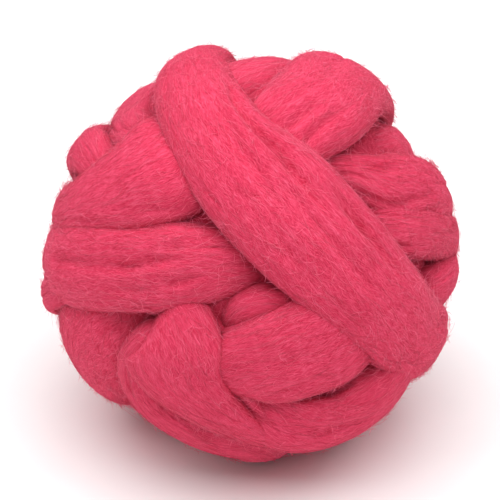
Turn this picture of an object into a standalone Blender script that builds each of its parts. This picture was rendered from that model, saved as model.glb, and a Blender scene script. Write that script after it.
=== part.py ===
"""A ball of wool roving: one thick, soft, unspun strand wound round itself by hand.

Metres, +Z up. The origin is the middle of the ball's flat foot, on the surface that it rests on. The ball's
face, where one broad turn crosses all the others, looks to -Y and up.
"""

from collections import namedtuple
from math import cos, pi, radians, sin, sqrt

import bmesh
import bpy
from mathutils import Matrix, Vector

# Driving sizes, in metres
BALL_RADIUS = 0.081
CORE_RADIUS = 0.070
STRAND_THICKNESS = 0.018
SEAT_HEIGHT = 0.0725
FOLD_ROUNDING = 0.014

# How far the ball's face looks up, in degrees
FACE_ELEVATION = 30.0

# How finely the strand is modelled
RING_POINTS = 20
RING_SPACING = 0.005
PROFILE_FULLNESS = 0.78
VOXEL = 0.0017
KEPT_FACES = 8000
SMOOTHING_STEPS = 6

WOOL_COLOUR = (0.80, 0.045, 0.130, 1.0)
WOOL_ROUGHNESS = 0.95

# One row for each section of a turn of the strand. east and north are degrees round the ball from the middle
# of its face, width is the strand's flattened width and crown its top's height above the ball's centre, in mm.
Section = namedtuple("Section", "east north width crown")

TURNS = {
    "long_turn": (
        Section(-44, -10, 30, 71),
        Section(-33, -18, 46, 79),
        Section(-27, -30, 50, 82),
        Section(-25, -42, 45, 83),
        Section(-19, -54, 40, 83),
        Section(-5, -63, 33, 83),
        Section(14, -69, 24, 80),
        Section(50, -74, 26, 78),
        Section(95, -78, 34, 80),
        Section(150, -72, 42, 82),
        Section(-178, -58, 44, 83),
        Section(-175, -35, 42, 84),
        Section(-171, -10, 42, 85),
        Section(-166, 14, 42, 85),
        Section(-158, 42, 40, 84),
        Section(-130, 66, 37, 83),
        Section(-84, 74, 37, 83),
        Section(-44, 65, 38, 84),
        Section(-22, 47, 41, 85),
        Section(-7, 30, 47, 85),
        Section(9, 14, 51, 86),
        Section(27, -5, 47, 86),
        Section(44, -16, 43, 85),
        Section(63, -25, 39, 84),
        Section(88, -28, 37, 84),
        Section(118, -32, 38, 83),
        Section(150, -37, 38, 80),
        Section(172, -41, 34, 74),
    ),
    "crown_turn": (
        Section(0, 8, 34, 69),
        Section(14, 29, 38, 79),
        Section(29, 45, 44, 82),
        Section(85, 61, 45, 85),
        Section(128, 45, 44, 84),
        Section(146, 18, 40, 84),
        Section(150, -8, 38, 83),
        Section(146, -30, 36, 76),
    ),
    "crown_lip": (
        Section(-14, 34, 22, 69),
        Section(-3, 52, 24, 75),
        Section(20, 70, 26, 75),
        Section(110, 79, 38, 79),
        Section(172, 67, 46, 81),
        Section(175, 42, 42, 80),
        Section(176, 22, 34, 72),
    ),
    "right_fold": (
        Section(18, 28, 24, 68),
        Section(45, 33, 24, 74),
        Section(72, 36, 24, 74),
        Section(105, 37, 28, 77),
        Section(135, 35, 28, 74),
    ),
    "high_ring": (
        Section(10, 12, 30, 69),
        Section(-8, 14, 40, 75),
        Section(-22, 20, 42, 78),
        Section(-40, 20, 38, 79),
        Section(-62, 16, 30, 80),
        Section(-90, 14, 27, 79),
        Section(-120, 12, 34, 80),
        Section(-150, 13, 40, 80),
        Section(180, 14, 40, 79),
        Section(150, 16, 38, 79),
        Section(120, 18, 32, 80),
        Section(90, 19, 22, 79),
        Section(66, 21, 20, 79),
        Section(48, 23, 18, 78),
        Section(30, 24, 18, 76),
        Section(8, 22, 18, 68),
    ),
    "low_ring": (
        Section(12, -2, 20, 69),
        Section(-4, -3, 28, 76),
        Section(-20, -4, 36, 80),
        Section(-40, -4, 38, 81),
        Section(-62, -4, 38, 82),
        Section(-90, -3, 35, 81),
        Section(-120, -6, 38, 81),
        Section(-150, -9, 40, 80),
        Section(180, -11, 40, 79),
        Section(150, -9, 40, 79),
        Section(120, -3, 36, 81),
        Section(95, 3, 28, 82),
        Section(70, 8, 26, 81),
        Section(44, 9, 26, 78),
        Section(15, 7, 20, 69),
    ),
    "right_tuck": (
        Section(108, 8, 16, 73),
        Section(92, -5, 20, 80),
        Section(72, -14, 22, 79),
        Section(50, -20, 18, 71),
    ),
    "left_shoulder": (
        Section(-44, 24, 18, 70),
        Section(-56, 30, 20, 78),
        Section(-72, 33, 24, 81),
        Section(-92, 28, 27, 81),
        Section(-120, 30, 38, 81),
        Section(-148, 30, 38, 79),
        Section(-168, 30, 30, 71),
    ),
    "left_fold": (
        Section(-28, 22, 20, 69),
        Section(-40, 34, 24, 75),
        Section(-50, 44, 26, 77),
        Section(-72, 55, 30, 75),
        Section(-105, 52, 40, 79),
        Section(-132, 44, 40, 80),
        Section(-155, 30, 30, 71),
    ),
    "under_turn": (
        Section(-12, -9, 22, 69),
        Section(-24, -16, 30, 73),
        Section(-40, -22, 40, 77),
        Section(-60, -25, 46, 81),
        Section(-90, -28, 50, 83),
        Section(-120, -30, 46, 82),
        Section(-150, -32, 42, 80),
        Section(-172, -34, 36, 73),
    ),
    "left_tuft": (
        Section(-56, -8, 12, 73),
        Section(-78, -11, 14, 82),
        Section(-100, -13, 16, 83),
        Section(-125, -16, 18, 75),
    ),
    "fan_lip": (
        Section(-56, -28, 14, 71),
        Section(-55, -44, 18, 79),
        Section(-53, -57, 22, 81),
        Section(-38, -70, 26, 82),
        Section(0, -79, 28, 82),
        Section(80, -87, 30, 82),
        Section(-150, -80, 34, 82),
        Section(-142, -64, 36, 82),
        Section(-140, -46, 32, 75),
    ),
    "middle_fold": (
        Section(-13, -17, 14, 70),
        Section(-5, -15, 16, 77),
        Section(6, -14, 17, 79),
        Section(17, -16, 15, 77),
        Section(28, -20, 12, 71),
    ),
    "knot_turn": (
        Section(-15, -26, 22, 68),
        Section(-8, -27, 27, 74),
        Section(-2, -28, 31, 80),
        Section(6, -29, 34, 83),
        Section(17, -29, 36, 85),
        Section(31, -30, 32, 84),
        Section(46, -30, 26, 80),
        Section(62, -28, 20, 71),
    ),
    "base_turn": (
        Section(-14, -41, 24, 68),
        Section(-6, -45, 28, 74),
        Section(2, -50, 33, 79),
        Section(14, -54, 38, 83),
        Section(36, -56, 42, 86),
        Section(56, -47, 40, 86),
        Section(70, -35, 34, 81),
        Section(84, -24, 26, 72),
    ),
    "base_back_turn": (
        Section(30, -72, 34, 72),
        Section(62, -64, 38, 80),
        Section(95, -55, 40, 82),
        Section(130, -55, 42, 82),
        Section(152, -58, 42, 82),
        Section(172, -60, 40, 74),
    ),
    "left_base_turn": (
        Section(-58, -42, 24, 69),
        Section(-80, -52, 36, 74),
        Section(-115, -56, 42, 80),
        Section(-150, -58, 44, 82),
        Section(-175, -56, 40, 74),
    ),
}


def smooth_through(rows, place):
    """The rows' values at place, on one smooth curve that runs through every row."""
    last = len(rows) - 1
    index = min(int(place), last - 1)
    t = place - index
    before, start, end, after = (rows[max(0, min(last, index + step))] for step in (-1, 0, 1, 2))
    return [
        0.5 * (2 * b + (c - a) * t + (2 * a - 5 * b + 4 * c - d) * t * t + (3 * b - a - 3 * c + d) * t**3)
        for a, b, c, d in zip(before, start, end, after)
    ]


def towards(east, north):
    """The unit direction that many degrees from the middle of the ball's face, before the ball is tilted."""
    level = cos(radians(north))
    return Vector((level * sin(radians(east)), -level * cos(radians(east)), sin(radians(north))))


def stations(turn):
    """Evenly spaced (direction, width, crown) along one turn, the sizes in metres."""
    rows = [(*towards(row.east, row.north), row.width / 1000, row.crown / 1000) for row in turn]
    steps_a_row = 24
    fine = [smooth_through(rows, step / steps_a_row) for step in range((len(rows) - 1) * steps_a_row + 1)]
    travelled = [0.0]
    for a, b in zip(fine, fine[1:]):
        travelled.append(travelled[-1] + BALL_RADIUS * Vector(a[:3]).normalized().angle(Vector(b[:3]).normalized()))
    count = max(6, round(travelled[-1] / RING_SPACING))
    found = []
    for number in range(count + 1):
        wanted = travelled[-1] * number / count
        index = max(i for i, length in enumerate(travelled) if length <= wanted + 1e-9)
        direction = Vector(fine[index][:3]).normalized()
        from_end = min(wanted, travelled[-1] - wanted)
        found.append((direction, fine[index][3], fine[index][4], from_end))
    return found


def power(value, exponent):
    """A signed power, for the squared-off ellipse of the strand's section."""
    return (1 if value >= 0 else -1) * abs(value) ** exponent


def strand_mesh(name, turn):
    """One turn of the flattened strand, closed at both ends, lying round the ball."""
    mesh = bmesh.new()
    rings = []
    found = stations(turn)
    for number, (direction, width, crown, from_end) in enumerate(found):
        ahead = found[min(number + 1, len(found) - 1)][0] - found[max(number - 1, 0)][0]
        across = direction.cross(ahead).normalized()
        rounding = max(0.0, min(1.0, from_end / FOLD_ROUNDING))
        swell = max(0.06, sqrt(1 - (1 - rounding) ** 2))
        middle = crown - STRAND_THICKNESS / 2
        ring = []
        for point in range(RING_POINTS):
            angle = 2 * pi * point / RING_POINTS
            turned = power(cos(angle), PROFILE_FULLNESS) * swell * width / (2 * crown)
            height = middle + power(sin(angle), PROFILE_FULLNESS) * swell * STRAND_THICKNESS / 2
            place = (direction * cos(turned) + across * sin(turned)) * height
            ring.append(mesh.verts.new(place))
        rings.append(ring)
    for first, second in zip(rings, rings[1:]):
        for point in range(RING_POINTS):
            after = (point + 1) % RING_POINTS
            mesh.faces.new((first[point], first[after], second[after], second[point]))
    mesh.faces.new(rings[0][::-1])
    mesh.faces.new(rings[-1])
    bmesh.ops.recalc_face_normals(mesh, faces=mesh.faces)
    data = bpy.data.meshes.new(name)
    mesh.to_mesh(data)
    mesh.free()
    return data


def wound_ball(collection, material):
    """The core and every turn, fused into one solid skin, tilted and seated on its foot."""
    whole = bmesh.new()
    bmesh.ops.create_icosphere(whole, subdivisions=4, radius=CORE_RADIUS)
    for name, turn in TURNS.items():
        piece = strand_mesh(name, turn)
        whole.from_mesh(piece)
        bpy.data.meshes.remove(piece)
    tilt = Matrix.Rotation(radians(-FACE_ELEVATION), 4, "X")
    lift = Matrix.Translation((0, 0, SEAT_HEIGHT))
    bmesh.ops.transform(whole, matrix=lift @ tilt, verts=whole.verts)
    data = bpy.data.meshes.new("wound_roving")
    whole.to_mesh(data)
    whole.free()
    ball = bpy.data.objects.new("wound_roving", data)
    ball.data.materials.append(material)
    collection.objects.link(ball)
    return ball


def felted(ball):
    """Fuses the overlapping turns into one body with the Remesh modifier, then thins its faces."""
    fuse = ball.modifiers.new("fuse", "REMESH")
    fuse.mode = "VOXEL"
    fuse.voxel_size = VOXEL
    soften = ball.modifiers.new("soften", "SMOOTH")
    soften.iterations = SMOOTHING_STEPS
    thin = ball.modifiers.new("thin", "DECIMATE")
    bpy.context.view_layer.update()
    thin.show_viewport = thin.show_render = False
    dense = ball.evaluated_get(bpy.context.evaluated_depsgraph_get()).to_mesh()
    dense.calc_loop_triangles()
    thin.ratio = KEPT_FACES / len(dense.loop_triangles)
    thin.show_viewport = thin.show_render = True


def floor_cutter(collection):
    """The block under the ball whose top is the resting surface."""
    side = 4 * BALL_RADIUS
    mesh = bmesh.new()
    bmesh.ops.create_cube(mesh, size=side)
    data = bpy.data.meshes.new("floor_block")
    mesh.to_mesh(data)
    mesh.free()
    block = bpy.data.objects.new("floor_block", data)
    block.location = (0, 0, -side / 2)
    block.hide_render = True
    block.display_type = "WIRE"
    collection.objects.link(block)
    return block


def wool(name):
    material = bpy.data.materials.new(name)
    material.use_nodes = True
    shader = material.node_tree.nodes["Principled BSDF"]
    shader.inputs["Base Color"].default_value = WOOL_COLOUR
    shader.inputs["Roughness"].default_value = WOOL_ROUGHNESS
    return material


def main():
    for old in list(bpy.data.objects):
        bpy.data.objects.remove(old)
    parts = bpy.data.collections.new("roving_ball")
    cutters = bpy.data.collections.new("cutters")
    bpy.context.scene.collection.children.link(parts)
    bpy.context.scene.collection.children.link(cutters)
    ball = wound_ball(parts, wool("raspberry wool"))
    felted(ball)
    foot = ball.modifiers.new("foot", "BOOLEAN")
    foot.operation = "DIFFERENCE"
    foot.object = floor_cutter(cutters)


main()
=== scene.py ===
from math import cos, log, pi, radians, sin

import bpy
import numpy as np
from mathutils import Matrix, Vector


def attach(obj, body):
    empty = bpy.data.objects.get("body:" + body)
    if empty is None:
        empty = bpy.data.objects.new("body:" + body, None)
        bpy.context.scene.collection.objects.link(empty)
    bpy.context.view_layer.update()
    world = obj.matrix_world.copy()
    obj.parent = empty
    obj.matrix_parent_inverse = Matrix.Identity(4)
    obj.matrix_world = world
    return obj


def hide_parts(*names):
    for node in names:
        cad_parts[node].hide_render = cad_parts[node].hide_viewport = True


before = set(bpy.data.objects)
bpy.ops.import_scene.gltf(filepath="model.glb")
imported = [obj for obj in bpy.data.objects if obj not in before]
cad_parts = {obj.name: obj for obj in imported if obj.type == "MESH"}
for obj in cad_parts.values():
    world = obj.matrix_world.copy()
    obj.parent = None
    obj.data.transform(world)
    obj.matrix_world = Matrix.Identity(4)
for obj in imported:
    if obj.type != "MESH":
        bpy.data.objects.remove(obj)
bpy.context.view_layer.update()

# A ball of combed wool roving. Every turn of the strand is one swept band that follows its row of sections,
# and the loose fibres run along the same bands. The bands are made round the ball's middle with its face to
# -Y, then the whole ball is tipped back and set down on the floor.

ball = {
    "faceElevation": 30.0,  # degrees that the face looks up
    "seatHeight": 0.0725,  # middle of the ball above the floor
    "footSoftness": 0.0011,  # how gently the wool flattens where it rests
}

strand = {
    "fullness": 2.25,  # 2 is an ellipse, more is squarer
    "foldRounding": 0.014,  # rounding of the ends that tuck under
    "grooveDepth": 0.0009,  # thin grooves where the combed fibres part
    "groovesAcross": 5.0,
    "grooveLength": 0.075,
    "lockDepth": 0.00012,  # slight locks on the surface
    "locksAcross": 20.0,
    "lockLength": 0.020,
    "swellDepth": 0.0009,  # slow unevenness of the hand-wound strand
    "creaseDepth": 0.0050,  # the creases listed for a turn, where they are deepest
    "creaseWidth": 0.0015,
}

winding = {
    "ringSpacing": 0.0024,  # metres from one ring of points to the next
    "pointsAround": 84,
    "firstSeed": 2.3,  # each turn has its own pattern
    "seedStep": 5.1,
}

# east and north are degrees round the ball from the middle of its face, width is the flattened strand's and
# crown its top's height above the ball's middle, in mm. A crease is a line of points on a turn: mm along
# it, side from -1 to 1, and depth from 0 to 1.
turns = {
    "longTurn": {  # from the fan at the lower left, under, up the back and down across the face
        "thickness": 20,
        "creases": [
            [(444, 0.62, 0.1), (452, 0.5, 0.3), (462, 0.44, 0.6), (474, 0.4, 0.8), (486, 0.35, 0.9),
             (498, 0.3, 0.8), (507, 0.25, 0.8), (519, 0.21, 0.6), (532, 0.16, 0.2)],
            [(458, 0.26, 0.1), (470, 0.16, 0.5), (482, 0.05, 0.6), (496, 0.0, 0.6), (504, -0.08, 0.4),
             (516, -0.12, 0.1)],
            [(522, 0.42, 0.2), (532, 0.4, 0.7), (542, 0.4, 0.8), (552, 0.38, 0.6), (562, 0.33, 0.4),
             (574, 0.28, 0.1)],
            [(504, 0.1, 0.1), (512, 0.08, 0.5), (524, 0.04, 0.5), (540, 0.03, 0.5), (556, 0.0, 0.4),
             (566, -0.02, 0.1)],
            [(545, 0.2, 0.1), (555, 0.18, 0.4), (566, 0.12, 0.1)],
            [(516, -0.3, 0.1), (528, -0.36, 0.4), (540, -0.38, 0.1)],
            [(26, -0.18, 0.1), (31, -0.1, 0.3), (38, -0.08, 0.1)],
            [(19, 0.98, 0.3), (26, 0.88, 0.6), (32, 0.72, 0.9), (43, 0.6, 1.0), (52, 0.52, 1.0),
             (63, 0.48, 0.9), (76, 0.42, 0.8), (86, 0.34, 0.4)],
        ],
        "rows": [
            (-33, -18, 40, 70), (-28, -23, 48, 81), (-25, -30, 54, 85), (-22, -37, 49, 85),
            (-16, -44, 40, 84.5), (-6, -52, 30, 84), (12, -62, 24, 82), (40, -73, 25, 78),
            (95, -78, 34, 80), (150, -72, 42, 82), (-178, -58, 44, 83), (-175, -35, 42, 84),
            (-171, -10, 42, 85), (-166, 14, 42, 85), (-158, 42, 40, 84), (-130, 66, 36, 83),
            (-84, 75, 32, 82.5), (-43, 65, 32, 83.5), (-22, 47, 36, 85.5), (-9, 31, 44, 86),
            (8, 14, 53, 86.5), (27, -5, 50, 86.5), (44, -16, 44, 85), (63, -25, 40, 84), (88, -28, 37, 84),
            (118, -32, 38, 83), (150, -37, 38, 80), (172, -41, 34, 74),
        ],
    },
    "crownTurn": {  # comes out to the right from under the front turn and goes over the right shoulder
        "thickness": 19,
        "creases": [
            [(22, -0.1, 0.1), (28, -0.1, 0.45), (36, -0.1, 0.45), (44, -0.12, 0.1)],
            [(24, -0.38, 0.1), (30, -0.36, 0.4), (40, -0.31, 0.4), (50, -0.28, 0.1)],
            [(22, 0.56, 0.5), (27, 0.58, 0.5), (36, 0.62, 0.2)],
            [(60, 0.1, 0.1), (74, 0.14, 0.4), (90, 0.1, 0.1)],
        ],
        "rows": [
            (-6, 26, 38, 70), (2, 31, 43, 77), (13, 38, 44, 83), (27, 45, 45, 85), (44, 54, 46, 84.5),
            (75, 60, 43, 85), (113, 55, 43, 84.5), (140, 39, 40, 83), (152, 10, 38, 83), (153, -21, 36, 76),
        ],
    },
    "crownLip": {
        "thickness": 17,
        "rows": [
            (-26, 47, 24, 72), (-15, 53, 28, 78), (-4, 61, 31, 79), (22, 70, 33, 78), (88, 74, 38, 77),
            (140, 66, 46, 81), (170, 48, 42, 80), (176, 22, 34, 72),
        ],
    },
    "rightFold": {
        "thickness": 16,
        "rows": [
            (24, 29, 20, 64), (37, 31, 24, 68), (50, 32, 27, 71.5), (70, 34, 28, 74.5), (105, 36, 30, 75),
            (135, 35, 28, 73),
        ],
    },
    "highRing": {  # fans out towards the front turn on the left, and passes behind it to the right side
        "thickness": 18,
        "creases": [
            [(58, 0.38, 0.1), (50, 0.52, 0.3), (40, 0.66, 0.2)],
            [(440, 0.56, 0.2), (430, 0.46, 0.4), (419, 0.22, 0.4), (405, 0.12, 0.2)],
            [(430, 0.95, 0.2), (420, 0.66, 0.3), (410, 0.42, 0.3), (398, 0.34, 0.1)],
            [(448, -0.3, 0.1), (434, -0.2, 0.4), (418, -0.25, 0.1)],
        ],
        "rows": [
            (-9, 48, 44, 67), (-16, 38, 54, 73), (-23, 31, 57, 79), (-31, 25, 54, 82), (-44, 19, 42, 81.5),
            (-66, 13, 27, 80), (-90, 13, 27, 79), (-120, 12, 34, 80), (-150, 13, 40, 80), (180, 14, 40, 79),
            (150, 16, 38, 79), (120, 17, 34, 81), (90, 17, 32, 81.5), (66, 18, 33, 81), (48, 19, 32, 79.5),
            (30, 24, 18, 76), (8, 22, 18, 68),
        ],
    },
    "lowRing": {
        "thickness": 18,
        "creases": [
            [(106, -0.08, 0.5), (92, -0.08, 0.5), (76, -0.02, 0.3), (62, -0.02, 0.55), (49, -0.1, 0.5),
             (38, -0.14, 0.1)],
            [(52, 0.22, 0.1), (46, 0.21, 0.4), (40, 0.18, 0.45), (34, 0.13, 0.1)],
            [(52, -0.2, 0.1), (44, -0.26, 0.4), (36, -0.3, 0.1)],
            [(76, 0.32, 0.1), (66, 0.31, 0.4), (54, 0.3, 0.1)],
            [(474, 0.3, 0.1), (462, 0.32, 0.4), (446, 0.3, 0.1)],
        ],
        "rows": [
            (12, -2, 20, 69), (-4, -3, 28, 76), (-20, -4, 36, 80), (-40, -4, 38, 81), (-62, -4, 38, 82),
            (-90, -3, 35, 81), (-120, -6, 38, 81), (-150, -9, 40, 80), (180, -11, 40, 79),
            (150, -9, 40, 79), (120, -3, 36, 81), (95, 3, 28, 82), (70, 5, 23, 81), (44, 5.5, 23, 79.5),
            (15, 4, 18, 69),
        ],
    },
    "rightTuck": {
        "thickness": 17,
        "rows": [
            (108, 9, 16, 73), (92, -3, 21, 81), (72, -11, 23, 80), (50, -18, 18, 71),
        ],
    },
    "leftShoulder": {
        "thickness": 17,
        "rows": [
            (-50, 17, 17, 69), (-58, 25, 18, 77), (-69, 30, 21, 81), (-90, 32, 26, 81), (-120, 30, 38, 81),
            (-148, 30, 38, 79), (-168, 30, 30, 71),
        ],
    },
    "leftFold": {
        "thickness": 17,
        "rows": [
            (-38, 31, 22, 68), (-45, 37, 24, 75), (-58, 42, 26, 75.5), (-78, 49, 30, 75),
            (-105, 52, 38, 79), (-132, 44, 40, 80), (-155, 30, 30, 71),
        ],
    },
    "underTurn": {  # slants down to the left behind the fan
        "thickness": 19,
        "creases": [
            [(34, 0.1, 0.1), (46, 0.14, 0.3), (60, 0.1, 0.1)],
        ],
        "rows": [
            (-22, 6, 36, 66), (-34, -7, 48, 70), (-43, -14.5, 50, 71), (-57, -22, 49, 76),
            (-78, -30, 50, 81.5), (-101, -36, 50, 83), (-126, -36, 46, 82), (-150, -34, 42, 80),
            (-172, -34, 36, 73),
        ],
    },
    "leftTuft": {
        "thickness": 12,
        "rows": [
            (-56, -8, 12, 73), (-78, -11, 14, 82), (-100, -13, 16, 83), (-125, -16, 18, 75),
        ],
    },
    "fanLip": {
        "thickness": 18,
        "rows": [
            (-26, -18, 12, 70), (-31, -24, 15, 77), (-39, -30, 18, 79.5), (-44.5, -37, 21, 81),
            (-46, -45, 23, 82), (-43, -54, 25, 82), (-31, -64, 27, 82), (0, -74, 28, 82), (80, -87, 30, 82),
            (-150, -80, 34, 82), (-142, -64, 36, 82), (-140, -46, 32, 75),
        ],
    },
    "middleFold": {
        "thickness": 16,
        "rows": [
            (-9, -31, 12, 68), (-6, -24, 16, 74), (-1, -18, 19, 77.5), (6, -16, 20, 78.5),
            (13, -17, 19, 77), (24, -22, 14, 70),
        ],
    },
    "knotTurn": {  # spreads up to the right and dives under the front turn
        "thickness": 22,
        "creases": [
            [(38, -0.32, 0.1), (48, -0.3, 0.4), (58, -0.26, 0.3), (66, -0.22, 0.1)],
            [(44, 0.12, 0.1), (54, 0.1, 0.3), (64, 0.04, 0.1)],
        ],
        "rows": [
            (-22, -50, 24, 68), (-13, -41, 31, 77), (-4, -35, 38, 83), (7, -31, 44, 86.5),
            (18, -27.5, 49, 85), (29, -24, 53, 82), (39, -19, 50, 77), (48, -10, 42, 68),
        ],
    },
    "baseTurn": {
        "thickness": 21,
        "creases": [
            [(30, 0.1, 0.1), (44, 0.16, 0.35), (60, 0.18, 0.35), (76, 0.12, 0.1)],
            [(50, -0.34, 0.1), (64, -0.3, 0.4), (80, -0.28, 0.1)],
            [(19, 0.5, 0.2), (29, 0.62, 0.4), (43, 0.8, 0.45), (58, 0.86, 0.45), (70, 0.9, 0.2)],
        ],
        "rows": [
            (-14, -41, 24, 68), (-6, -46, 30, 76), (4, -51, 36, 81), (18, -55, 41, 84.5), (40, -55, 46, 86),
            (58, -46, 46, 85.5), (71, -35.5, 42, 80.5), (84, -25, 30, 71),
        ],
    },
    "baseBackTurn": {
        "thickness": 18,
        "rows": [
            (30, -72, 34, 72), (62, -64, 38, 80), (95, -55, 40, 82), (130, -55, 42, 82), (152, -58, 42, 82),
            (172, -60, 40, 74),
        ],
    },
    "leftBaseTurn": {
        "thickness": 18,
        "rows": [
            (-58, -42, 24, 69), (-80, -52, 36, 74), (-115, -56, 42, 80), (-150, -58, 44, 82),
            (-175, -56, 40, 74),
        ],
    },
}

turnPieces = {  # the turns that each piece holds
    "longTurn": ["longTurn"],
    "crownTurns": ["crownTurn", "crownLip", "rightFold"],
    "ringTurns": ["highRing", "lowRing", "rightTuck"],
    "sideTurns": ["leftShoulder", "leftFold", "underTurn", "leftTuft"],
    "lowTurns": ["fanLip", "middleFold", "knotTurn", "baseTurn", "baseBackTurn", "leftBaseTurn"],
}


# building node trees
class Nodes:  # what geometry trees and materials share
    def __init__(self, tree):
        self.nodes, self.links = tree.nodes, tree.links

    def add(self, kind, feeds=None, **settings):
        node = self.nodes.new(kind)
        for key, value in settings.items():
            setattr(node, key, value)
        for key, value in (feeds or {}).items():
            self.feed(node.inputs[key], value)
        return node

    def feed(self, socket, value):
        if isinstance(value, bpy.types.NodeSocket):
            self.links.new(value, socket)
        else:
            socket.default_value = value

    def maths(self, operation, *values, clamp=False):
        node = self.add("ShaderNodeMath", operation=operation, use_clamp=clamp)
        for socket, value in zip(node.inputs, values):
            self.feed(socket, value)
        return node.outputs[0]

    def plus(self, first, second):
        return self.maths("ADD", first, second)

    def minus(self, first, second):
        return self.maths("SUBTRACT", first, second)

    def times(self, first, second, clamp=False):
        return self.maths("MULTIPLY", first, second, clamp=clamp)

    def over(self, first, second, clamp=False):
        return self.maths("DIVIDE", first, second, clamp=clamp)

    def vector(self, operation, *values):
        node = self.add("ShaderNodeVectorMath", operation=operation)
        sockets = [node.inputs[0], node.inputs["Scale"]] if operation == "SCALE" else list(node.inputs)
        for socket, value in zip(sockets, values):
            self.feed(socket, value)
        return node.outputs["Value" if operation == "LENGTH" else "Vector"]

    def scaled(self, value, scale):
        return self.vector("SCALE", value, scale)

    def moved(self, value, shift):
        return self.vector("ADD", value, shift)


class Tree(Nodes):
    def __init__(self, name, sockets):
        self.group = bpy.data.node_groups.new(name, "GeometryNodeTree")
        super().__init__(self.group)
        for label, direction, socketType in sockets:
            self.group.interface.new_socket(label, in_out=direction, socket_type=socketType)
        self.start = self.add("NodeGroupInput")
        self.end = self.add("NodeGroupOutput")

    def __getitem__(self, label):  # what the socket of that name feeds in
        return self.start.outputs[label]

    def give(self, label, value):
        self.links.new(value, self.end.inputs[label])

    def made(self, kind, feeds=None, **settings):  # the first output of a geometry node
        return self.add("GeometryNode" + kind, feeds, **settings).outputs[0]

    def together(self, x, y, z):
        return self.add("ShaderNodeCombineXYZ", {"X": x, "Y": y, "Z": z}).outputs[0]

    def noise(self, place, detail=1.0):
        feeds = {"Vector": place, "Scale": 1.0, "Detail": detail}
        return self.add("ShaderNodeTexNoise", feeds).outputs["Fac"]

    def spread(self, value, fromMin, fromMax, toMin, toMax):
        feeds = {"Value": value, "From Min": fromMin, "From Max": fromMax, "To Min": toMin, "To Max": toMax}
        return self.add("ShaderNodeMapRange", feeds).outputs["Result"]


def socketName(key):  # the key foldRounding feeds the socket Fold Rounding
    return "".join(" " + letter if letter.isupper() else letter for letter in key).title()


def inputs(kind, labels):
    return [(label, "INPUT", "NodeSocket" + kind) for label in labels]


surfaceNames = [socketName(key) for key in strand] + ["Strand Thickness", "Seed"]
sideUnit = 0.022  # metres that one step of side counts as, where the turn is laid out flat

skinShape = {
    "thinnestEnd": 0.06,  # share of the strand's thickness where an end tucks under
    "partingWidth": 0.022,  # how far from the noise's middle a groove opens
    "patchLength": 0.03,  # the grooves come and go in patches
    "patchesAcross": 4.0,
    "patchBias": 0.02,
    "patchContrast": 5.0,
    "lockContrast": 2.2,
    "swellLength": 0.045,
    "swellsAcross": 2.6,
    "swellContrast": 2.5,
    "creasePower": 1.5,  # more gives a crease a wider floor and steeper sides
}


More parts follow.
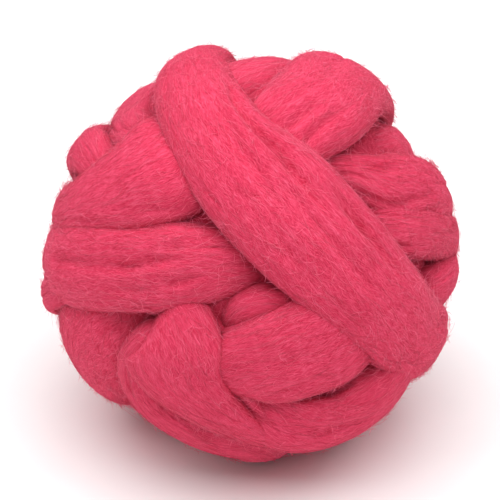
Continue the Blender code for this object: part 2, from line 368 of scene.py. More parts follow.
def makeSurfaceGroup():  # where a point of the skin is, from its way along the turn and round its section
    t = Tree(
        "strand surface",
        inputs("Geometry", ["Guide", "Crease Lines"]) + inputs("Float", ["Along", "Side", *surfaceNames])
        + [(label, "OUTPUT", "NodeSocketVector") for label in ("Position", "Outward", "Tangent")],
    )
    total = t.made("CurveLength", {"Curve": t["Guide"]})
    along = t.maths("MINIMUM", t.maths("MAXIMUM", t["Along"], 0.0), total)
    halfWide = t.made("InputRadius")
    feeds = {"Curves": t["Guide"], "Value": halfWide, "Length": along}
    found = t.add("GeometryNodeSampleCurve", feeds, mode="LENGTH")
    place, tangent = found.outputs["Position"], found.outputs["Tangent"]
    crown = t.vector("LENGTH", place)
    upward = t.vector("NORMALIZE", place)
    across = t.vector("NORMALIZE", t.vector("CROSS_PRODUCT", upward, tangent))
    fromEnd = t.maths("MINIMUM", along, t.minus(total, along))
    near = t.minus(1.0, t.over(fromEnd, t["Fold Rounding"], clamp=True))
    swell = t.maths("SQRT", t.minus(1.0, t.times(near, near)))
    swell = t.maths("MAXIMUM", swell, skinShape["thinnestEnd"])
    quarter = t.times(t["Side"], pi / 2)
    u = t.maths("SINE", quarter)
    full = t["Fullness"]
    uPower = t.maths("POWER", t.maths("ABSOLUTE", u), full)
    vAbs = t.maths("POWER", t.maths("MAXIMUM", t.minus(1.0, uPower), 0.0), t.over(1.0, full))
    v = t.times(vAbs, t.maths("SIGN", t.maths("COSINE", quarter)))
    wide = t.times(found.outputs["Value"], swell)
    halfThick = t.times(t["Strand Thickness"], 0.5)
    thick = t.times(halfThick, swell)
    turned = t.over(t.times(u, wide), crown)
    cosine, sine = t.maths("COSINE", turned), t.maths("SINE", turned)
    radial = t.moved(t.scaled(upward, cosine), t.scaled(across, sine))
    sideways = t.vector("SUBTRACT", t.scaled(across, cosine), t.scaled(upward, sine))
    height = t.plus(t.minus(crown, halfThick), t.times(v, thick))
    less = t.minus(full, 1.0)
    slopeU = t.times(t.maths("POWER", t.maths("ABSOLUTE", u), less), t.maths("SIGN", u))
    slopeV = t.times(t.maths("POWER", vAbs, less), t.maths("SIGN", v))
    outward = t.moved(t.scaled(sideways, t.over(slopeU, wide)), t.scaled(radial, t.over(slopeV, thick)))
    outward = t.vector("NORMALIZE", outward)

    def wave(length, manyAcross, detail, shift):  # with its own shift, no wave repeats another
        lengthwise = t.over(along, length)
        crosswise = t.times(t["Side"], t.times(manyAcross, 0.5))
        spot = t.together(lengthwise, crosswise, t.plus(t["Seed"], shift))
        return t.minus(t.noise(spot, detail), 0.5)

    parting = wave(t["Groove Length"], t["Grooves Across"], detail=1.0, shift=0.0)
    parting = t.over(parting, skinShape["partingWidth"])
    parting = t.maths("EXPONENT", t.times(t.times(parting, parting), -1.0))
    here = wave(skinShape["patchLength"], skinShape["patchesAcross"], detail=0.0, shift=21.0)
    here = t.times(t.plus(here, skinShape["patchBias"]), skinShape["patchContrast"], clamp=True)
    relief = t.times(t.times(parting, here), t.times(t["Groove Depth"], -1.0))
    locks = wave(t["Lock Length"], t["Locks Across"], detail=2.0, shift=3.7)
    relief = t.plus(relief, t.times(t.times(locks, skinShape["lockContrast"]), t["Lock Depth"]))
    slow = wave(skinShape["swellLength"], skinShape["swellsAcross"], detail=0.0, shift=8.1)
    relief = t.plus(relief, t.times(t.times(slow, skinShape["swellContrast"]), t["Swell Depth"]))
    spot = t.together(along, t.times(t["Side"], sideUnit), 0.0)
    feeds = {"Geometry": t["Crease Lines"], "Sample Position": spot}
    gap = t.add("GeometryNodeProximity", feeds, target_element="EDGES").outputs["Distance"]
    gap = t.over(gap, t["Crease Width"])
    pinch = t.maths("EXPONENT", t.times(t.maths("POWER", gap, skinShape["creasePower"]), -1.0))
    relief = t.minus(relief, t.times(pinch, t["Crease Depth"]))
    relief = t.times(relief, swell)
    t.give("Position", t.moved(t.scaled(radial, height), t.scaled(outward, relief)))
    t.give("Outward", outward)
    t.give("Tangent", tangent)
    return t.group


surfaceGroup = makeSurfaceGroup()


def surfaceOf(t, along, side):
    lines = t.add("GeometryNodeObjectInfo", {"Object": t["Crease Guide"]}).outputs["Geometry"]
    lines = t.made("CurveToMesh", {"Curve": lines})
    feeds = {"Guide": t["Guide"], "Crease Lines": lines, "Along": along, "Side": side}
    feeds.update({label: t[label] for label in surfaceNames})
    return t.add("GeometryNodeGroup", feeds, node_tree=surfaceGroup)


def captured(t, geometry, kind, **fields):  # keeps fields with the geometry for later nodes
    node = t.add("GeometryNodeCaptureAttribute", {"Geometry": geometry})
    for name, value in fields.items():
        node.capture_items.new(kind, name)
        t.feed(node.inputs[name], value)
    return node.outputs["Geometry"], [node.outputs[name] for name in fields]


def stored(t, geometry, name, value, kind="FLOAT"):
    feeds = {"Geometry": geometry, "Name": name, "Value": value}
    return t.made("StoreNamedAttribute", feeds, data_type=kind, domain="POINT")


def finished(t, geometry):
    whole = t.made("RealizeInstances", {"Geometry": geometry})
    whole = t.made("SetMaterial", {"Geometry": whole, "Material": t["Material"]})
    t.give("Geometry", whole)
    return t.group


sharedSockets = (
    inputs("Geometry", ["Guide"]) + inputs("Object", ["Crease Guide"]) + inputs("Float", surfaceNames)
    + inputs("Material", ["Material"]) + [("Geometry", "OUTPUT", "NodeSocketGeometry")]
)

bandPoints = {
    "topShare": 0.82,  # of the points round the strand lie on the side that shows
    "topSide": 1.1,  # how far round, in steps of side, that part reaches
    "restSide": 1.8,
}


def makeBandTree():
    sizes = inputs("Float", ["Ring Spacing"]) + inputs("Int", ["Points Around"])
    t = Tree("wound band", sharedSockets + sizes)
    guide = t["Guide"]
    total = t.made("CurveLength", {"Curve": guide})
    rings = t.maths("ROUND", t.over(total, t["Ring Spacing"]))
    path = t.made("ResampleCurve", {"Curve": guide, "Count": rings}, mode="COUNT")
    share = t.made("SplineParameter")
    path, (alongShare,) = captured(t, path, "FLOAT", alongShare=share)
    loop = t.made("CurvePrimitiveCircle", {"Resolution": t["Points Around"], "Radius": 0.01})
    share = t.made("SplineParameter")
    loop, (aroundShare,) = captured(t, loop, "FLOAT", aroundShare=share)
    skin = t.made("CurveToMesh", {"Curve": path, "Profile Curve": loop, "Fill Caps": True})
    top = t.spread(aroundShare, 0.0, bandPoints["topShare"], -bandPoints["topSide"], bandPoints["topSide"])
    side = t.plus(top, t.spread(aroundShare, bandPoints["topShare"], 1.0, 0.0, bandPoints["restSide"]))
    along = t.times(alongShare, total)
    for name, value in (("along", along), ("around", aroundShare), ("side", side)):
        skin = stored(t, skin, name, value)
    surface = surfaceOf(t, along, side)
    skin = t.made("SetPosition", {"Geometry": skin, "Position": surface.outputs["Position"]})
    return finished(t, skin)


fibreKeys = ("shortest", "longest", "halfThickness", "lift", "tipLift", "sway", "lean", "curl")
hairSockets = (
    sharedSockets + inputs("Object", ["Wound Ball"]) + inputs("Int", ["Count", "Pattern", "Hair Points"])
    + inputs("Float", [socketName(key) for key in fibreKeys])
)

hairShape = {
    "taper": 0.4,  # nearer to 0 the hair keeps its thickness up to its ends
    "thinnest": 0.15,
    "leastLean": 0.15,
    "phases": 50.0,
    "probeLift": 0.0006,  # from here a ray goes outward, and a root below another turn grows no hair
    "probeLength": 0.05,
    "crimps": 220.0,  # in a metre of laid hair
    "laidTip": 3.0,  # more keeps the lift to the hair's tip
    "strayBends": 4.0,
    "strayWander": 0.25,
    "straySways": 3.0,
    "strayTip": 2.0,
}


def hairsOnTurn(t, crowding):  # straight hairs on the skin that shows, with what bends each of them later
    total = t.made("CurveLength", {"Curve": t["Guide"]})
    line = t.made("CurvePrimitiveLine", {"Start": (0, 0, 0), "End": (1, 0, 0)})
    feeds = {"Curve": line, "Count": t["Hair Points"]}
    line = t.made("ResampleCurve", feeds, mode="COUNT")
    share = t.made("SplineParameter")
    taper = t.times(t.times(share, t.minus(1.0, share)), 4.0)  # 1 at the middle
    taper = t.maths("MAXIMUM", t.maths("POWER", taper, hairShape["taper"]), hairShape["thinnest"])
    triangle = t.made("CurvePrimitiveCircle", {"Resolution": 3, "Radius": 1.0})
    feeds = {"Curve": line, "Profile Curve": triangle, "Scale": taper, "Fill Caps": True}
    hair = t.made("CurveToMesh", feeds)
    hair, (spot,) = captured(t, hair, "VECTOR", spot=t.made("InputPosition"))
    roots = t.made("Points", {"Count": t["Count"]})
    number = t.made("InputIndex")

    def chance(low, high, shift):  # each draw has its own shift of the turn's pattern
        node = t.add("FunctionNodeRandomValue", {}, data_type="FLOAT")
        feeds = {"Min_001": low, "Max_001": high, "ID": number, "Seed": t.plus(t["Pattern"], shift)}
        for socket in node.inputs:
            if socket.identifier in feeds:
                t.feed(socket, feeds[socket.identifier])
        return node.outputs[1]

    toSide = chance(-1.0, 1.0, 2.0)
    own = {
        "along": t.times(chance(0.0, 1.0, 1.0), total),
        "side": t.times(t.maths("POWER", t.maths("ABSOLUTE", toSide), crowding), t.maths("SIGN", toSide)),
        "length": chance(t["Shortest"], t["Longest"], 3.0),
        "phase": chance(0.0, hairShape["phases"], 4.0),
        "tone": chance(0.0, 1.0, 5.0),
        "lean": t.times(chance(-1.0, 1.0, 6.0), chance(hairShape["leastLean"], 1.0, 7.0)),
        "bend": chance(-1.0, 1.0, 8.0),
        "height": chance(0.0, 1.0, 9.0),
    }
    roots, kept = captured(t, roots, "FLOAT", **own)
    own = dict(zip(own, kept))
    skin = surfaceOf(t, own["along"], own["side"])
    lifted = t.moved(skin.outputs["Position"], t.scaled(skin.outputs["Outward"], hairShape["probeLift"]))
    wound = t.add("GeometryNodeObjectInfo", {"Object": t["Wound Ball"]}).outputs["Geometry"]
    feeds = {"Target Geometry": wound, "Source Position": lifted, "Ray Length": hairShape["probeLength"],
             "Ray Direction": t.vector("NORMALIZE", lifted)}
    covered = t.made("Raycast", feeds)
    feeds = {"Geometry": roots, "Selection": covered}
    roots = t.made("DeleteGeometry", feeds, domain="POINT")
    roots, (own["home"], own["ahead"]) = captured(
        t, roots, "VECTOR", home=skin.outputs["Position"], ahead=skin.outputs["Tangent"]
    )
    roots = stored(t, roots, "tone", own["tone"])
    roots = stored(t, roots, "hair", t.made("InputIndex"))
    hairs = t.made("InstanceOnPoints", {"Points": roots, "Instance": hair})
    hairs = t.made("RealizeInstances", {"Geometry": hairs})
    hairs = stored(t, hairs, "spot", spot, kind="FLOAT_VECTOR")
    x, y, z = t.add("ShaderNodeSeparateXYZ", {"Vector": spot}).outputs
    return hairs, own, x, y, z


def swayed(t, waves, own, lane):  # a slow wave along the hair, from -0.5 to 0.5
    return t.minus(t.noise(t.together(waves, own["phase"], lane), 1.0), 0.5)


def makeLaidTree():  # hairs that cling to the skin of the turn, roughly along it
    t = Tree("laid hairs", hairSockets)
    hairs, own, x, y, z = hairsOnTurn(t, crowding=1.0)
    middle = t.minus(x, 0.5)
    along = t.plus(own["along"], t.times(middle, own["length"]))
    crimp = t.times(x, t.times(own["length"], hairShape["crimps"]))
    curl = t.plus(swayed(t, crimp, own, 0.0), t.times(t.times(middle, middle), own["bend"]))
    side = t.plus(own["side"], t.times(t.times(middle, own["lean"]), t["Lean"]))
    side = t.plus(side, t.times(curl, t["Curl"]))
    skin = surfaceOf(t, along, side)
    outward = skin.outputs["Outward"]
    across = t.vector("NORMALIZE", t.vector("CROSS_PRODUCT", outward, skin.outputs["Tangent"]))
    rise = t.plus(t["Lift"], t.times(swayed(t, crimp, own, 9.0), t["Sway"]))
    rise = t.plus(rise, t.times(t.maths("POWER", x, hairShape["laidTip"]), t["Tip Lift"]))
    half = t["Half Thickness"]
    shift = t.moved(t.scaled(outward, t.plus(rise, t.times(z, half))), t.scaled(across, t.times(y, half)))
    feeds = {"Geometry": hairs, "Position": t.moved(skin.outputs["Position"], shift)}
    return finished(t, t.made("SetPosition", feeds))


def makeStrayTree():  # hairs that leave the turn in their own arc, at about the height of their root
    t = Tree("stray hairs", hairSockets)
    hairs, own, x, y, z = hairsOnTurn(t, crowding=0.6)  # more of them near the turn's sides
    way = t.times(t.minus(x, 0.5), own["length"])
    heading = t.times(own["lean"], t["Lean"])
    cosine, sine = t.maths("COSINE", heading), t.maths("SINE", heading)
    bow = t.times(t.times(way, way), t.times(own["bend"], t["Curl"]))
    wander = swayed(t, t.times(x, hairShape["strayBends"]), own, 0.0)
    bow = t.plus(bow, t.times(wander, t.times(own["length"], hairShape["strayWander"])))
    forward = t.minus(t.times(way, cosine), t.times(bow, sine))
    sideways = t.plus(t.times(way, sine), t.times(bow, cosine))
    across = t.vector("NORMALIZE", t.vector("CROSS_PRODUCT", own["home"], own["ahead"]))
    place = t.moved(own["home"], t.scaled(own["ahead"], forward))
    place = t.moved(place, t.scaled(across, sideways))
    sway = swayed(t, t.times(x, hairShape["straySways"]), own, 9.0)
    rise = t.plus(t.times(own["height"], t["Lift"]), t.times(sway, t["Sway"]))
    tips = t.times(t.maths("POWER", x, hairShape["strayTip"]), own["height"])
    rise = t.plus(rise, t.times(tips, t["Tip Lift"]))
    half = t["Half Thickness"]
    radius = t.plus(t.vector("LENGTH", own["home"]), t.plus(rise, t.times(z, half)))
    turned = t.moved(t.scaled(across, cosine), t.scaled(own["ahead"], t.times(sine, -1.0)))
    place = t.moved(t.scaled(t.vector("NORMALIZE", place), radius), t.scaled(turned, t.times(y, half)))
    feeds = {"Geometry": hairs, "Position": place}
    return finished(t, t.made("SetPosition", feeds))


bandTree = makeBandTree()
laidTree = makeLaidTree()
strayTree = makeStrayTree()
print("node trees built")


def towards(east, north):  # the ball's face looks to -Y before it is tipped back
    level = cos(radians(north))
    return Vector((level * sin(radians(east)), -level * cos(radians(east)), sin(radians(north))))


def smoothThrough(rows, place):  # what a smooth line through the rows is at this place
    last = len(rows) - 1
    index = min(int(place), last - 1)
    t = place - index
    before, start, end, after = (rows[max(0, min(last, index + step))] for step in (-1, 0, 1, 2))
    return [
        0.5 * (2 * b + (c - a) * t + (2 * a - 5 * b + 4 * c - d) * t * t + (3 * b - a - 3 * c + d) * t**3)
        for a, b, c, d in zip(before, start, end, after)
    ]


def placed(name, data):
    item = bpy.data.objects.new(name, data)
    bpy.context.scene.collection.objects.link(item)
    return item


def curveOf(name, lines):  # each point of a line has its place and a radius
    data = bpy.data.curves.new(name, "CURVE")
    data.dimensions = "3D"
    for line in lines:
        spline = data.splines.new("POLY")
        spline.points.add(len(line) - 1)
        for point, (place, radius) in zip(spline.points, line):
            point.co = (*place, 1.0)
            point.radius = radius
    return placed(name, data)


def guideCurve(name, rows, stepsPerRow=20):  # the middle line of a turn, with half the width as the radius
    rows = [(*towards(east, north), width / 2000, crown / 1000) for east, north, width, crown in rows]
    path = [smoothThrough(rows, step / stepsPerRow) for step in range((len(rows) - 1) * stepsPerRow + 1)]
    return curveOf(name, [[(Vector(point[:3]).normalized() * point[4], point[3]) for point in path]])


def runTree(guide, tree, values):  # the evaluated result as a plain mesh
    modifier = guide.modifiers.new("windings", "NODES")
    modifier.node_group = tree
    for item in tree.interface.items_tree:
        if item.item_type == "SOCKET" and item.in_out == "INPUT" and item.name in values:
            modifier[item.identifier] = values[item.name]
    guide.update_tag()
    bpy.context.view_layer.update()
    mesh = bpy.data.meshes.new_from_object(guide.evaluated_get(bpy.context.evaluated_depsgraph_get()))
    guide.modifiers.remove(modifier)
    return mesh


farCrease = [(-500, 0, 1), (-490, 0, 1)]  # away from every turn, for turns that have no other
leastDepth = 0.02


def creasePoint(along, side, depth):  # laid flat, with x along the turn, y across it, z off it where shallow
    off = (-log(max(depth, leastDepth))) ** (1 / skinShape["creasePower"]) * strand["creaseWidth"]
    return (along / 1000, side * sideUnit, off), 1.0


def creaseCurve(name, creases):
    return curveOf(name, [[creasePoint(*point) for point in line] for line in creases + [farCrease]])


def strandValues(name, number, thickness):
    values = {socketName(key): value for key, value in strand.items()}
    values["Strand Thickness"] = thickness / 1000
    values["Seed"] = winding["firstSeed"] + winding["seedStep"] * number
    values["Crease Guide"] = creaseGuides[name]
    return values


def read(items, name, size=1, kind=np.float32):
    values = np.zeros(len(items) * size, kind)
    items.foreach_get(name, values)
    return values.reshape(-1, size) if size > 1 else values


def meshArray(mesh, name, size=1):
    return read(mesh.attributes[name].data, "vector" if size == 3 else "value", size)


def points(mesh):
    return read(mesh.vertices, "co", 3)


def facesOut(mesh):  # turns the mesh right side out, told from its signed volume
    mesh.calc_loop_triangles()
    a, b, c = points(mesh)[read(mesh.loop_triangles, "vertices", 3, np.int32)].transpose(1, 0, 2)
    if np.einsum("ij,ij->i", a, np.cross(b, c)).sum() < 0:
        mesh.flip_normals()


def addMap(mesh, name, values):
    layer = mesh.uv_layers.new(name=name)
    layer.data.foreach_set("uv", np.ascontiguousarray(values, np.float32).ravel())


def bandMaps(mesh, bakeRow):  # a map in metres for the fibre pattern, and a square one with a strip a turn
    corners = read(mesh.loops, "vertex_index", 1, np.int32)
    along, around, side = (meshArray(mesh, name)[corners] for name in ("along", "around", "side"))
    starts = read(mesh.polygons, "loop_start", 1, np.int32)
    face = np.searchsorted(starts, np.arange(len(corners)), side="right") - 1
    highest = np.maximum.reduceat(around, starts)
    seam = (around < 0.01) & (highest[face] > 0.9)  # the last face round ends where the first begins
    around = np.where(seam, 1.0, around)
    addMap(mesh, "fibreMap", np.stack([along, side * sideUnit], axis=1))
    low, high, longest = bakeRow
    addMap(mesh, "OFBake", np.stack([along / longest, low + (high - low) * around], axis=1))
    for name in ("along", "around", "side"):
        mesh.attributes.remove(mesh.attributes[name])


def joined(name, meshes):
    objects = [placed(name, mesh) for mesh in meshes]
    if len(objects) > 1:
        with bpy.context.temp_override(active_object=objects[0], selected_editable_objects=objects):
            bpy.ops.object.join()
    objects[0].name = name
    objects[0].data.name = name
    return objects[0]


tip = Matrix.Rotation(radians(-ball["faceElevation"]), 4, "X")
tip = Matrix.Translation((0, 0, ball["seatHeight"])) @ tip


def setDown(piece):  # tips the ball back, and flattens the wool softly where it meets the floor
    piece.data.transform(tip)
    places = points(piece.data)
    soft, untouched = ball["footSoftness"], 30  # so many times the softness up, nothing moves
    z = places[:, 2] / soft
    places[:, 2] = soft * np.where(z > untouched, z, np.log1p(np.exp(np.minimum(z, untouched))))
    piece.data.vertices.foreach_set("co", places.ravel())
    piece.data.shade_smooth()
    piece.data.update()


# painted shade: the wool is darkened in its colour where it lies below the turns round it, standing in for
# the shade that falls in the creases
paintedCreaseShade = {
    "cell": 0.0025,  # metres, on a ball of the middle radius
    "middleRadius": 0.08,
    "cellsEachWay": 72,
    "evenedOver": 3,  # cells to each side
    "shallow": 0.0006,
    "deep": 0.0055,  # this far below the turns round it, the painted shade is at its darkest
}


def cellNumbers(places):
    count = paintedCreaseShade["cellsEachWay"]
    cells = places / np.linalg.norm(places, axis=1, keepdims=True)
    cells = cells * paintedCreaseShade["middleRadius"] / paintedCreaseShade["cell"] + count // 2
    x, y, z = np.floor(cells).astype(int).T
    return (x * count + y) * count + z


def skinHeights(meshes):  # the outer height of the turns in small cells round the ball, evened out
    places = np.concatenate([points(mesh) for mesh in meshes])
    count, reach = paintedCreaseShade["cellsEachWay"], paintedCreaseShade["evenedOver"]
    heights = np.zeros((count, count, count))
    np.maximum.at(heights.ravel(), cellNumbers(places), np.linalg.norm(places, axis=1))
    totals = []
    for grid in (heights, (heights > 0).astype(float)):
        for axis in (0, 1, 2, 0, 1, 2):
            grid = sum(np.roll(grid, step, axis) for step in range(-reach, reach + 1))
        totals.append(grid.ravel())
    return totals[0] / np.maximum(totals[1], 1e-9)


def keepPaintedCreaseShade(mesh, heights):  # how deep each point lies between the turns round it, from 0 to 1, kept as the share of painted shade
    places = points(mesh)
    below = heights[cellNumbers(places)] - np.linalg.norm(places, axis=1)
    paintedShadeShare = np.clip((below - paintedCreaseShade["shallow"]) / (paintedCreaseShade["deep"] - paintedCreaseShade["shallow"]), 0, 1)
    layer = mesh.attributes.new("paintedCreaseShade", "FLOAT", "POINT")
    layer.data.foreach_set("value", paintedShadeShare.astype(np.float32))


# wool
wool = {
    "paintedCreaseShade": (0.60, 0.34, 0.41, 1.0),  # painted shade: the wool between the turns is darkened in colour by this
    "tip": (0.95, 0.180, 0.300, 1.0),  # painted highlight: single fibres made lighter in colour, as if they caught the light
    "light": (0.74, 0.069, 0.145, 1.0),
    "mid": (0.64, 0.033, 0.088, 1.0),
    "deep": (0.52, 0.018, 0.055, 1.0),
    "shader": {
        "Roughness": 0.95, "Specular IOR Level": 0.16,
        "Sheen Weight": 0.05, "Sheen Roughness": 0.5, "Sheen Tint": (1.0, 0.45, 0.58, 1.0),
        "Subsurface Weight": 0.08, "Subsurface Radius": (1.0, 0.25, 0.3), "Subsurface Scale": 0.004,
    },
}

felt = {  # the fine crimped fibres in the material of the turns
    "crimpScale": 260.0,
    "crimpReach": 0.0013,
    "layers": [  # degrees off the turn, waves in a metre along and across, width, strength
        (3, 140, 2500, 0.12, 1.0), (-11, 160, 2400, 0.11, 0.9), (16, 180, 2300, 0.10, 0.85),
        (-30, 220, 2200, 0.07, 0.7), (42, 240, 2000, 0.06, 0.6),
    ],
    "streaks": ((24, 600, 1), 2.0, 0.12),  # scale, detail and share in the tone
    "patches": ((60, 90, 1), 1.0, 0.08),
    "hairShare": 0.80,
    # the top stop, tip, is a painted highlight on the finest fibres
    "tones": [(0.32, "deep"), (0.58, "mid"), (0.84, "light"), (1.0, "tip")],
    "bumpStrength": 0.8,
    "bumpHeight": 0.00009,
}

singleFibre = {
    "patches": ((140, 140, 140), 2.0, 0.25),
    "toneShare": 0.75,
    "darkest": 0.20,
    "lightest": 0.80,
}


class Look(Nodes):
    def __init__(self, name):
        self.material = bpy.data.materials.new(name)
        self.material.use_nodes = True
        super().__init__(self.material.node_tree)
        self.shader = self.nodes["Principled BSDF"]

    def ramp(self, value, stops):
        node = self.add("ShaderNodeValToRGB", {"Fac": value})
        elements = node.color_ramp.elements
        while len(elements) < len(stops):
            elements.new(0.5)
        for element, (place, colour) in zip(elements, stops):
            element.position = place
            element.color = colour
        return node.outputs["Color"]

    def noise(self, place, scale, detail=3.0):
        mapped = self.add("ShaderNodeMapping", {"Vector": place, "Scale": scale}).outputs[0]
        feeds = {"Vector": mapped, "Scale": 1.0, "Detail": detail}
        return self.add("ShaderNodeTexNoise", feeds).outputs["Fac"]

    def withNoise(self, value, place, scale, detail, share):
        return self.plus(value, self.times(self.noise(place, scale, detail), share))

    def withPaintedShade(self, share, first, second):
        node = self.add("ShaderNodeMix", {}, data_type="RGBA", blend_type="MULTIPLY")
        for key, value in (("Factor", share), (6, first), (7, second)):
            self.feed(node.inputs[key], value)
        return node.outputs[2]


def woolPaintedShadeAndFinish(look, colour):
    # painted shade: the colour is darkened by the crease share, standing in for the shade between the turns
    paintedShadeShare = look.add("ShaderNodeAttribute", attribute_name="paintedCreaseShade").outputs["Fac"]
    look.feed(look.shader.inputs["Base Color"], look.withPaintedShade(paintedShadeShare, colour, wool["paintedCreaseShade"]))
    for name, value in wool["shader"].items():
        look.shader.inputs[name].default_value = value


def combedWool():  # a felt of fine crimped fibres, most of them along the turn
    look = Look("combed raspberry wool")
    place = look.add("ShaderNodeUVMap", uv_map="fibreMap").outputs[0]
    feeds = {"Vector": place, "Scale": felt["crimpScale"], "Detail": 1.0}
    crimp = look.add("ShaderNodeTexNoise", feeds).outputs["Color"]
    crimp = look.scaled(look.vector("SUBTRACT", crimp, (0.5, 0.5, 0.5)), felt["crimpReach"])
    place = look.moved(place, crimp)

    def hairsAt(angle, along, across, width):
        feeds = {"Vector": place, "Rotation": (0, 0, radians(angle))}
        turned = look.add("ShaderNodeMapping", feeds).outputs[0]
        off = look.maths("ABSOLUTE", look.minus(look.noise(turned, (along, across, 1), 1.0), 0.5))
        return look.minus(1.0, look.maths("MINIMUM", look.over(off, width), 1.0))

    hairy = None
    for angle, along, across, width, strength in felt["layers"]:
        layer = look.times(hairsAt(angle, along, across, width), strength)
        hairy = layer if hairy is None else look.maths("MAXIMUM", hairy, layer)
    value = look.times(hairy, felt["hairShare"])
    for scale, detail, share in (felt["streaks"], felt["patches"]):
        value = look.withNoise(value, place, scale, detail, share)
    woolPaintedShadeAndFinish(look, look.ramp(value, [(stop, wool[tone]) for stop, tone in felt["tones"]]))
    feeds = {"Strength": felt["bumpStrength"], "Distance": felt["bumpHeight"], "Height": hairy}
    look.feed(look.shader.inputs["Normal"], look.add("ShaderNodeBump", feeds).outputs[0])
    return look.material


def fibreWool(name, deepest, lightest):  # single fibres, each in its own tone
    look = Look(name)
    tone = look.add("ShaderNodeAttribute", attribute_name="tone").outputs["Fac"]
    place = look.add("ShaderNodeTexCoord").outputs["Object"]
    value = look.withNoise(look.times(tone, singleFibre["toneShare"]), place, *singleFibre["patches"])
    stops = [(singleFibre["darkest"], wool[deepest]), (singleFibre["lightest"], wool[lightest])]
    woolPaintedShadeAndFinish(look, look.ramp(value, stops))
    return look.material


combed = combedWool()
# each fibre's lightest tone is tip, a painted highlight
laidWool = fibreWool("laid fibre wool", "mid", "tip")
strayWool = fibreWool("stray fibre wool", "light", "tip")
print("wool materials made")

# the turns
guides = {name: guideCurve(name, turn["rows"]) for name, turn in turns.items()}
creaseGuides = {}
for name, turn in turns.items():
    creaseGuides[name] = creaseCurve(name + "Creases", turn.get("creases", []))
creaseGuides["inner"] = creaseCurve("innerCreases", [])

innerWindings = {  # the turns underneath, seen only at the bottom of the deepest creases
    "count": 5,
    "rowsAround": 12,
    "width": 78,
    "crown": 72,
    "thickness": 18,
    "lean": 62.0,
    "ringSpacing": 0.006,
    "pointsAround": 48,
    "firstNumber": 30,  # numbers the patterns from here, clear of the turns'
    "mapMargin": 0.005,
    "mapLength": 0.46,  # metres, a little more than once round
}


def innerRows(number):  # one great circle round the ball, leaning its own way
    lean = Matrix.Rotation(radians(innerWindings["lean"]), 3, "X")
    spin = Matrix.Rotation(2 * pi * number / innerWindings["count"], 3, "Z")
    rows = []
    for step in range(innerWindings["rowsAround"] + 1):
        angle = 2 * pi * step / innerWindings["rowsAround"]
        x, y, z = spin @ lean @ Vector((cos(angle), sin(angle), 0))
        north = np.degrees(np.arcsin(max(-1.0, min(1.0, z))))
        rows.append((np.degrees(np.arctan2(x, -y)), north, innerWindings["width"], innerWindings["crown"]))
    return rows


def windBand(guide, name, number, thickness, spacing, around):
    values = {"Ring Spacing": spacing, "Points Around": around, "Material": combed}
    values.update(strandValues(name, number, thickness))
    mesh = runTree(guide, bandTree, values)
    facesOut(mesh)
    return mesh


coarser = 1
spacing, around = winding["ringSpacing"] * coarser, winding["pointsAround"] // coarser
bands = {}
for number, (name, turn) in enumerate(turns.items()):
    bands[name] = windBand(guides[name], name, number, turn["thickness"], spacing, around)
bakeMap = {"margin": 0.03, "spareLength": 1.01}  # the margin is a share of each turn's strip
pieces = {}
for pieceName, members in turnPieces.items():
    longest = max(float(meshArray(bands[name], "along").max()) for name in members) * bakeMap["spareLength"]
    count, margin = len(members), bakeMap["margin"] / len(members)
    for row, name in enumerate(members):
        bandMaps(bands[name], (row / count + margin, (row + 1) / count - margin, longest))
    pieces[pieceName] = joined(pieceName, [bands[name] for name in members])
print("turns wound:", {name: len(piece.data.polygons) for name, piece in pieces.items()})

innerMeshes = []
for number in range(innerWindings["count"]):
    guide = guideCurve("innerGuide", innerRows(number))
    mesh = windBand(
        guide, "inner", innerWindings["firstNumber"] + number, innerWindings["thickness"],
        innerWindings["ringSpacing"], innerWindings["pointsAround"],
    )
    share, margin = 1 / innerWindings["count"], innerWindings["mapMargin"]
    bandMaps(mesh, (number * share + margin, (number + 1) * share - margin, innerWindings["mapLength"]))
    innerMeshes.append(mesh)
    bpy.data.objects.remove(guide)
pieces["innerWindings"] = joined("innerWindings", innerMeshes)
print("inner windings made")

# loose fibres
fibreKinds = {  # lengths in metres
    "laidFibres": {  # cling to the turns and make their surface
        "tree": laidTree, "perSquareMetre": 180000, "shortest": 0.007, "longest": 0.020,
        "halfThickness": 0.000042, "lift": 0.00006, "tipLift": 0.00020, "sway": 0.00032, "lean": 0.42,
        "curl": 0.07, "hairPoints": 5, "material": laidWool,
    },
    "strayFibres": {  # cross the turns and the creases in slack curves
        "tree": strayTree, "perSquareMetre": 20000, "shortest": 0.008, "longest": 0.024,
        "halfThickness": 0.00005, "lift": 0.0008, "tipLift": 0.0003, "sway": 0.0012, "lean": 1.6,
        "curl": 55.0, "hairPoints": 10, "material": strayWool,
    },
    "edgeFuzz": {  # short ends that stand off
        "tree": strayTree, "perSquareMetre": 115000, "shortest": 0.002, "longest": 0.006,
        "halfThickness": 0.00007, "lift": 0.0004, "tipLift": 0.0022, "sway": 0.0006, "lean": 3.0,
        "curl": 200.0, "hairPoints": 4, "material": strayWool,
    },
}

fibreDraws = {
    "spareRoots": 1.25,  # some roots lie under other turns and grow nothing
    "firstPattern": 3,
    "patternStep": 11,
    "quickShare": 0.25,
}
hairCell = {"left": 0.15, "width": 0.7, "spread": 0.45, "bottom": 0.08, "height": 0.84}  # shares of a cell
everyTurn = joined("everyTurn", [piece.data.copy() for piece in pieces.values()])


def hairMap(mesh, firstCell, sideCount):  # a cell for each hair in the square bake map
    corners = read(mesh.loops, "vertex_index", 1, np.int32)
    cell = meshArray(mesh, "hair")[corners] + firstCell
    spot = meshArray(mesh, "spot", 3)[corners]
    column, row = cell % sideCount, np.floor(cell / sideCount)
    aside = 0.5 + hairCell["spread"] * spot[:, 1]
    u = (column + hairCell["left"] + hairCell["width"] * aside) / sideCount
    v = (row + hairCell["bottom"] + hairCell["height"] * spot[:, 0]) / sideCount
    addMap(mesh, "OFBake", np.stack([u, v], axis=1))
    for name in ("hair", "spot"):
        mesh.attributes.remove(mesh.attributes[name])


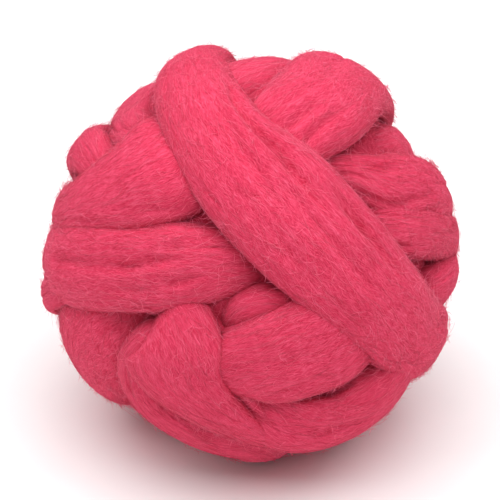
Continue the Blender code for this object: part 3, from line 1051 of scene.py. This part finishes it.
def growFibres(pieceName, kind, names, share):
    grown = []
    for name in names:
        number = list(turns).index(name)
        length = guides[name].data.splines[0].calc_length()
        width = np.mean([row[2] for row in turns[name]["rows"]]) / 1000
        values = {socketName(key): kind[key] for key in (*fibreKeys, "hairPoints", "material")}
        values["Wound Ball"] = everyTurn
        values["Count"] = int(kind["perSquareMetre"] * share * length * width * fibreDraws["spareRoots"])
        values["Pattern"] = fibreDraws["patternStep"] * number + fibreDraws["firstPattern"]
        values.update(strandValues(name, number, turns[name]["thickness"]))
        mesh = runTree(guides[name], kind["tree"], values)
        if len(mesh.polygons):
            facesOut(mesh)
            grown.append(mesh)
    total = sum(int(meshArray(mesh, "hair").max()) + 1 for mesh in grown)
    sideCount = int(np.ceil(np.sqrt(total)))
    first = 0
    for mesh in grown:
        count = int(meshArray(mesh, "hair").max()) + 1
        hairMap(mesh, first, sideCount)
        first += count
    piece = joined(pieceName, grown)
    piece.data.calc_loop_triangles()
    print(pieceName, "hairs:", total, "triangles:", len(piece.data.loop_triangles))
    return piece


hairShare = 1.0
for bandPiece, members in turnPieces.items():
    pieceName = bandPiece + "Fibres"
    pieces[pieceName] = growFibres(pieceName, fibreKinds["laidFibres"], members, hairShare)
for kindName in ("strayFibres", "edgeFuzz"):
    pieces[kindName] = growFibres(kindName, fibreKinds[kindName], list(turns), hairShare)

for guide in [*guides.values(), *creaseGuides.values(), everyTurn]:
    bpy.data.objects.remove(guide)

# painted shade for every piece, from how far each point lies below the turns round it
heights = skinHeights([pieces[name].data for name in turnPieces])
for piece in pieces.values():
    keepPaintedCreaseShade(piece.data, heights)
    setDown(piece)
    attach(piece, "root")
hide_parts("wound_roving")
print("pieces set down:", len(pieces))

# studio
studio = {
    "floorSize": 6.0,
    "paperTones": [(0.3, (0.93, 0.93, 0.93, 1.0)), (0.7, (0.945, 0.945, 0.945, 1.0))],
    "paperGrain": (40, 40, 40),
    "paperShader": {"Roughness": 0.9, "Specular IOR Level": 0.1},
    "world": 0.28,
    "softboxes": {  # place, size and watts
        "overheadSoftbox": ((-0.02, -0.15, 1.35), (3.0, 1.8), 43),
        "frontSoftbox": ((-0.4, -1.5, 1.1), (0.9, 0.7), 1.5),
    },
    "cameraDistance": 0.9,
    "cameraElevation": 30.0,
    "cameraShift": (-0.001, 0.004),
    "clipStart": 0.05,
    "halfView": 0.098 / 0.9,  # half the frame at the ball's middle, over the distance
    "sensorWidth": 36,
}

bpy.ops.mesh.primitive_grid_add(x_subdivisions=8, y_subdivisions=8, size=studio["floorSize"])
floor = bpy.context.object
floor.name = "floor"
paper = Look("white paper")
for name, value in studio["paperShader"].items():
    paper.shader.inputs[name].default_value = value
speck = paper.noise(paper.add("ShaderNodeTexCoord").outputs["Object"], studio["paperGrain"])
paper.feed(paper.shader.inputs["Base Color"], paper.ramp(speck, studio["paperTones"]))
floor.data.materials.append(paper.material)

world = bpy.data.worlds.new("studio")
world.use_nodes = True
background = world.node_tree.nodes["Background"]
background.inputs["Color"].default_value = (1.0, 1.0, 1.0, 1.0)
background.inputs["Strength"].default_value = studio["world"]
bpy.context.scene.world = world


def softbox(name, place, size, watts, aim):
    data = bpy.data.lights.new(name, "AREA")
    data.shape = "RECTANGLE"
    data.size, data.size_y = size
    data.energy = watts
    light = placed(name, data)
    light.location = place
    light.rotation_mode = "QUATERNION"
    light.rotation_quaternion = (aim - Vector(place)).to_track_quat("-Z", "Y")


middle = Vector((0, 0, ball["seatHeight"]))
for name, (place, size, watts) in studio["softboxes"].items():
    softbox(name, place, size, watts, middle)

elevation = radians(studio["cameraElevation"])
towardCamera = Vector((0, -cos(elevation), sin(elevation)))
cameraData = bpy.data.cameras.new("camera")
cameraData.sensor_width = studio["sensorWidth"]
cameraData.lens = studio["sensorWidth"] / 2 / studio["halfView"]
cameraData.shift_x, cameraData.shift_y = studio["cameraShift"]
cameraData.clip_start = studio["clipStart"]
camera = placed("camera", cameraData)
camera.location = middle + towardCamera * studio["cameraDistance"]
camera.rotation_mode = "QUATERNION"
camera.rotation_quaternion = (-towardCamera).to_track_quat("-Z", "Y")
bpy.context.scene.camera = camera
bpy.context.scene.view_settings.view_transform = "Standard"
print("studio set")
